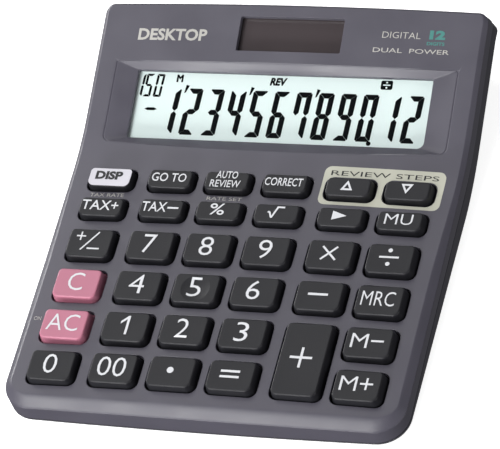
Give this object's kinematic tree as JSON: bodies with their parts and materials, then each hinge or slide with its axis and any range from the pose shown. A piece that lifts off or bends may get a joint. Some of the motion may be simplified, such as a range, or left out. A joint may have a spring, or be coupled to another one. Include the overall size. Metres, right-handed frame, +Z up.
{
  "type": "desktop calculator",
  "caption": "Compact desktop calculator with a sloping crowned keyboard of sprung keys, a tilted display in a sloping surround, a solar window and a tapered base on rubber feet.",
  "frame": {"origin": "on the table, under the centre of the case's outline", "axes": "+X to the right as the user sees it, +Y away from the user towards the display, +Z up"},
  "size_m": [0.1264, 0.1468, 0.0283],
  "materials": {
    "front_case": "moulded dark grey, fine satin texture",
    "rear_case": "moulded charcoal, fine texture",
    "key_dark": "moulded charcoal, satin",
    "key_pink": "moulded pink, satin",
    "silicone": "translucent grey silicone",
    "board": "green solder mask",
    "epoxy": "black epoxy",
    "clear_window": "clear acrylic",
    "display_glass": "reflective liquid crystal cell",
    "holder": "white plastic",
    "tinted_window": "smoked acrylic",
    "solar_cell": "amorphous silicon on glass",
    "flat_cable": "flat flexible cable",
    "foot_rubber": "black rubber",
    "steel": "zinc plated",
    "cell_can": "nickel plated",
    "spring_metal": "plated spring strip"
  },
  "bodies": {
    "case": {"battery_cell": "cell_can", "battery_contact_negative": "spring_metal", "battery_contact_positive": "spring_metal", "battery_cover": "rear_case", "battery_cover_screw": "steel", "circuit_board": "board", "display_holder": "holder", "display_window": "clear_window", "dome_mat": "silicone", "foot_front_left": "foot_rubber", "foot_front_right": "foot_rubber", "foot_rear_left": "foot_rubber", "foot_rear_right": "foot_rubber", "front_housing": "front_case", "lcd_glass": "display_glass", "lcd_ribbon": "flat_cable", "processor_blob": "epoxy", "rear_housing": "rear_case", "screw_front_left": "steel", "screw_front_right": "steel", "screw_rear_left": "steel", "screw_rear_right": "steel", "solar_cell": "solar_cell", "solar_lead": "flat_cable", "solar_window": "tinted_window"},
    "key_display": {"key_display": "key_dark"},
    "key_go_to": {"key_go_to": "key_dark"},
    "key_auto_review": {"key_auto_review": "key_dark"},
    "key_correct": {"key_correct": "key_dark"},
    "key_step_up": {"key_step_up": "key_dark"},
    "key_step_down": {"key_step_down": "key_dark"},
    "key_tax_plus": {"key_tax_plus": "key_dark"},
    "key_tax_minus": {"key_tax_minus": "key_dark"},
    "key_percent": {"key_percent": "key_dark"},
    "key_square_root": {"key_square_root": "key_dark"},
    "key_backspace": {"key_backspace": "key_dark"},
    "key_mark_up": {"key_mark_up": "key_dark"},
    "key_sign_change": {"key_sign_change": "key_dark"},
    "key_7": {"key_7": "key_dark"},
    "key_8": {"key_8": "key_dark"},
    "key_9": {"key_9": "key_dark"},
    "key_multiply": {"key_multiply": "key_dark"},
    "key_divide": {"key_divide": "key_dark"},
    "key_4": {"key_4": "key_dark"},
    "key_5": {"key_5": "key_dark"},
    "key_6": {"key_6": "key_dark"},
    "key_minus": {"key_minus": "key_dark"},
    "key_memory_recall": {"key_memory_recall": "key_dark"},
    "key_1": {"key_1": "key_dark"},
    "key_2": {"key_2": "key_dark"},
    "key_3": {"key_3": "key_dark"},
    "key_memory_minus": {"key_memory_minus": "key_dark"},
    "key_0": {"key_0": "key_dark"},
    "key_00": {"key_00": "key_dark"},
    "key_point": {"key_point": "key_dark"},
    "key_equals": {"key_equals": "key_dark"},
    "key_memory_plus": {"key_memory_plus": "key_dark"},
    "key_plus": {"key_plus": "key_dark"},
    "key_clear": {"key_clear": "key_pink"},
    "key_all_clear": {"key_all_clear": "key_pink"}
  },
  "joints": [
    {"name": "press_display", "type": "slide", "parent": "case", "child": "key_display", "axis": [0, 0.0454, -0.999], "range_m": [0, 0.001], "stiffness_N_per_m": 350, "springref_m": -0.001, "deforming": ["dome_mat"]},
    {"name": "press_go_to", "type": "slide", "parent": "case", "child": "key_go_to", "axis": [0, 0.0454, -0.999], "range_m": [0, 0.001], "stiffness_N_per_m": 350, "springref_m": -0.001, "deforming": ["dome_mat"]},
    {"name": "press_auto_review", "type": "slide", "parent": "case", "child": "key_auto_review", "axis": [0, 0.0454, -0.999], "range_m": [0, 0.001], "stiffness_N_per_m": 350, "springref_m": -0.001, "deforming": ["dome_mat"]},
    {"name": "press_correct", "type": "slide", "parent": "case", "child": "key_correct", "axis": [0, 0.0454, -0.999], "range_m": [0, 0.001], "stiffness_N_per_m": 350, "springref_m": -0.001, "deforming": ["dome_mat"]},
    {"name": "press_step_up", "type": "slide", "parent": "case", "child": "key_step_up", "axis": [0, 0.0454, -0.999], "range_m": [0, 0.001], "stiffness_N_per_m": 350, "springref_m": -0.001, "deforming": ["dome_mat"]},
    {"name": "press_step_down", "type": "slide", "parent": "case", "child": "key_step_down", "axis": [0, 0.0454, -0.999], "range_m": [0, 0.001], "stiffness_N_per_m": 350, "springref_m": -0.001, "deforming": ["dome_mat"]},
    {"name": "press_tax_plus", "type": "slide", "parent": "case", "child": "key_tax_plus", "axis": [0, 0.0454, -0.999], "range_m": [0, 0.001], "stiffness_N_per_m": 350, "springref_m": -0.001, "deforming": ["dome_mat"]},
    {"name": "press_tax_minus", "type": "slide", "parent": "case", "child": "key_tax_minus", "axis": [0, 0.0454, -0.999], "range_m": [0, 0.001], "stiffness_N_per_m": 350, "springref_m": -0.001, "deforming": ["dome_mat"]},
    {"name": "press_percent", "type": "slide", "parent": "case", "child": "key_percent", "axis": [0, 0.0454, -0.999], "range_m": [0, 0.001], "stiffness_N_per_m": 350, "springref_m": -0.001, "deforming": ["dome_mat"]},
    {"name": "press_square_root", "type": "slide", "parent": "case", "child": "key_square_root", "axis": [0, 0.0454, -0.999], "range_m": [0, 0.001], "stiffness_N_per_m": 350, "springref_m": -0.001, "deforming": ["dome_mat"]},
    {"name": "press_backspace", "type": "slide", "parent": "case", "child": "key_backspace", "axis": [0, 0.0454, -0.999], "range_m": [0, 0.001], "stiffness_N_per_m": 350, "springref_m": -0.001, "deforming": ["dome_mat"]},
    {"name": "press_mark_up", "type": "slide", "parent": "case", "child": "key_mark_up", "axis": [0, 0.0454, -0.999], "range_m": [0, 0.001], "stiffness_N_per_m": 350, "springref_m": -0.001, "deforming": ["dome_mat"]},
    {"name": "press_sign_change", "type": "slide", "parent": "case", "child": "key_sign_change", "axis": [0, 0.0454, -0.999], "range_m": [0, 0.001], "stiffness_N_per_m": 350, "springref_m": -0.001, "deforming": ["dome_mat"]},
    {"name": "press_7", "type": "slide", "parent": "case", "child": "key_7", "axis": [0, 0.0454, -0.999], "range_m": [0, 0.001], "stiffness_N_per_m": 350, "springref_m": -0.001, "deforming": ["dome_mat"]},
    {"name": "press_8", "type": "slide", "parent": "case", "child": "key_8", "axis": [0, 0.0454, -0.999], "range_m": [0, 0.001], "stiffness_N_per_m": 350, "springref_m": -0.001, "deforming": ["dome_mat"]},
    {"name": "press_9", "type": "slide", "parent": "case", "child": "key_9", "axis": [0, 0.0454, -0.999], "range_m": [0, 0.001], "stiffness_N_per_m": 350, "springref_m": -0.001, "deforming": ["dome_mat"]},
    {"name": "press_multiply", "type": "slide", "parent": "case", "child": "key_multiply", "axis": [0, 0.0454, -0.999], "range_m": [0, 0.001], "stiffness_N_per_m": 350, "springref_m": -0.001, "deforming": ["dome_mat"]},
    {"name": "press_divide", "type": "slide", "parent": "case", "child": "key_divide", "axis": [0, 0.0454, -0.999], "range_m": [0, 0.001], "stiffness_N_per_m": 350, "springref_m": -0.001, "deforming": ["dome_mat"]},
    {"name": "press_4", "type": "slide", "parent": "case", "child": "key_4", "axis": [0, 0.0454, -0.999], "range_m": [0, 0.001], "stiffness_N_per_m": 350, "springref_m": -0.001, "deforming": ["dome_mat"]},
    {"name": "press_5", "type": "slide", "parent": "case", "child": "key_5", "axis": [0, 0.0454, -0.999], "range_m": [0, 0.001], "stiffness_N_per_m": 350, "springref_m": -0.001, "deforming": ["dome_mat"]},
    {"name": "press_6", "type": "slide", "parent": "case", "child": "key_6", "axis": [0, 0.0454, -0.999], "range_m": [0, 0.001], "stiffness_N_per_m": 350, "springref_m": -0.001, "deforming": ["dome_mat"]},
    {"name": "press_minus", "type": "slide", "parent": "case", "child": "key_minus", "axis": [0, 0.0454, -0.999], "range_m": [0, 0.001], "stiffness_N_per_m": 350, "springref_m": -0.001, "deforming": ["dome_mat"]},
    {"name": "press_memory_recall", "type": "slide", "parent": "case", "child": "key_memory_recall", "axis": [0, 0.0454, -0.999], "range_m": [0, 0.001], "stiffness_N_per_m": 350, "springref_m": -0.001, "deforming": ["dome_mat"]},
    {"name": "press_1", "type": "slide", "parent": "case", "child": "key_1", "axis": [0, 0.0454, -0.999], "range_m": [0, 0.001], "stiffness_N_per_m": 350, "springref_m": -0.001, "deforming": ["dome_mat"]},
    {"name": "press_2", "type": "slide", "parent": "case", "child": "key_2", "axis": [0, 0.0454, -0.999], "range_m": [0, 0.001], "stiffness_N_per_m": 350, "springref_m": -0.001, "deforming": ["dome_mat"]},
    {"name": "press_3", "type": "slide", "parent": "case", "child": "key_3", "axis": [0, 0.0454, -0.999], "range_m": [0, 0.001], "stiffness_N_per_m": 350, "springref_m": -0.001, "deforming": ["dome_mat"]},
    {"name": "press_memory_minus", "type": "slide", "parent": "case", "child": "key_memory_minus", "axis": [0, 0.0454, -0.999], "range_m": [0, 0.001], "stiffness_N_per_m": 350, "springref_m": -0.001, "deforming": ["dome_mat"]},
    {"name": "press_0", "type": "slide", "parent": "case", "child": "key_0", "axis": [0, 0.0454, -0.999], "range_m": [0, 0.001], "stiffness_N_per_m": 350, "springref_m": -0.001, "deforming": ["dome_mat"]},
    {"name": "press_00", "type": "slide", "parent": "case", "child": "key_00", "axis": [0, 0.0454, -0.999], "range_m": [0, 0.001], "stiffness_N_per_m": 350, "springref_m": -0.001, "deforming": ["dome_mat"]},
    {"name": "press_point", "type": "slide", "parent": "case", "child": "key_point", "axis": [0, 0.0454, -0.999], "range_m": [0, 0.001], "stiffness_N_per_m": 350, "springref_m": -0.001, "deforming": ["dome_mat"]},
    {"name": "press_equals", "type": "slide", "parent": "case", "child": "key_equals", "axis": [0, 0.0454, -0.999], "range_m": [0, 0.001], "stiffness_N_per_m": 350, "springref_m": -0.001, "deforming": ["dome_mat"]},
    {"name": "press_memory_plus", "type": "slide", "parent": "case", "child": "key_memory_plus", "axis": [0, 0.0454, -0.999], "range_m": [0, 0.001], "stiffness_N_per_m": 350, "springref_m": -0.001, "deforming": ["dome_mat"]},
    {"name": "press_plus", "type": "slide", "parent": "case", "child": "key_plus", "axis": [0, 0.0454, -0.999], "range_m": [0, 0.001], "stiffness_N_per_m": 350, "springref_m": -0.001, "deforming": ["dome_mat"]},
    {"name": "press_clear", "type": "slide", "parent": "case", "child": "key_clear", "axis": [0, 0.0454, -0.999], "range_m": [0, 0.001], "stiffness_N_per_m": 350, "springref_m": -0.001, "deforming": ["dome_mat"]},
    {"name": "press_all_clear", "type": "slide", "parent": "case", "child": "key_all_clear", "axis": [0, 0.0454, -0.999], "range_m": [0, 0.001], "stiffness_N_per_m": 350, "springref_m": -0.001, "deforming": ["dome_mat"]}
  ]
}
